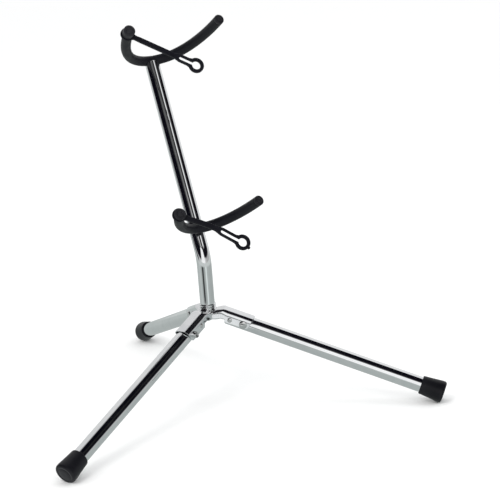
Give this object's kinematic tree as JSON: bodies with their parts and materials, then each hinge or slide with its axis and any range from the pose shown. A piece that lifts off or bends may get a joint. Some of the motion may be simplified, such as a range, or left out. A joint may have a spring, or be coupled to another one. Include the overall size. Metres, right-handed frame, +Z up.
{
  "type": "saxophone stand",
  "caption": "Folding tripod stand with a bent chrome upright and two padded U-shaped yokes, each closed by a pivoting rubber strap, to hold a saxophone.",
  "frame": {"origin": "middle of the underside of the whole box, on the floor", "axes": "+Z up, -Y the front, towards which both yokes open, +X to the right of somebody looking at the front"},
  "size_m": [0.6614, 0.6258, 0.638],
  "materials": {
    "chrome": "polished chrome plate",
    "plated_steel": "bright nickel plate",
    "plain_steel": "plain drawn steel",
    "black_rubber": "satin moulded rubber",
    "black_plastic": "satin moulded plastic"
  },
  "bodies": {
    "stand": {"upper_tube_plug": "black_plastic", "upper_yoke_rod": "plain_steel", "upper_yoke_cover": "black_rubber", "upper_strap_stud": "black_plastic", "upper_catch_button": "black_plastic", "lower_yoke_rod": "plain_steel", "lower_yoke_cover": "black_rubber", "lower_strap_stud": "black_plastic", "lower_catch_button": "black_plastic", "upper_yoke_washer": "plated_steel", "upper_yoke_screw": "plated_steel", "lower_yoke_washer": "plated_steel", "lower_yoke_bolt": "plated_steel", "leg_rivet_front_left": "plated_steel", "arm_stay_front_left": "plated_steel", "leg_rivet_front_right": "plated_steel", "arm_stay_front_right": "plated_steel", "leg_rivet_rear": "plated_steel", "arm_stay_rear": "plated_steel", "hub_spider": "chrome", "upright_collar": "chrome", "hub_plug": "plain_steel", "hub_washer": "plain_steel", "hub_bolt": "plated_steel", "upright_tube": "chrome"},
    "leg_front_left": {"leg_tube_front_left": "chrome", "foot_cap_front_left": "black_rubber"},
    "leg_front_right": {"leg_tube_front_right": "chrome", "foot_cap_front_right": "black_rubber"},
    "leg_rear": {"leg_tube_rear": "chrome", "foot_cap_rear": "black_rubber"},
    "strap_upper": {"upper_strap": "black_rubber"},
    "strap_lower": {"lower_strap": "black_rubber"}
  },
  "joints": [
    {"name": "fold_front_left", "type": "hinge", "parent": "stand", "child": "leg_front_left", "pos_m": [-0.04567, -0.1093, 0.13742], "axis": [0.527, -0.8499, 0], "range_deg": [0, 70]},
    {"name": "fold_front_right", "type": "hinge", "parent": "stand", "child": "leg_front_right", "pos_m": [0.05569, -0.11231, 0.13742], "axis": [0.5764, 0.8171, 0], "range_deg": [0, 70]},
    {"name": "fold_rear", "type": "hinge", "parent": "stand", "child": "leg_rear", "pos_m": [0.00781, -0.01648, 0.13742], "axis": [-0.9996, 0.0297, 0], "range_deg": [0, 70]},
    {"name": "upper_strap_turn", "type": "hinge", "parent": "stand", "child": "strap_upper", "pos_m": [-0.0713, -0.02176, 0.6227], "axis": [0, -0.8721, 0.4894], "continuous": true},
    {"name": "lower_strap_turn", "type": "hinge", "parent": "stand", "child": "strap_lower", "pos_m": [-0.0615, -0.16419, 0.35071], "axis": [0, -0.8721, 0.4894], "continuous": true}
  ]
}
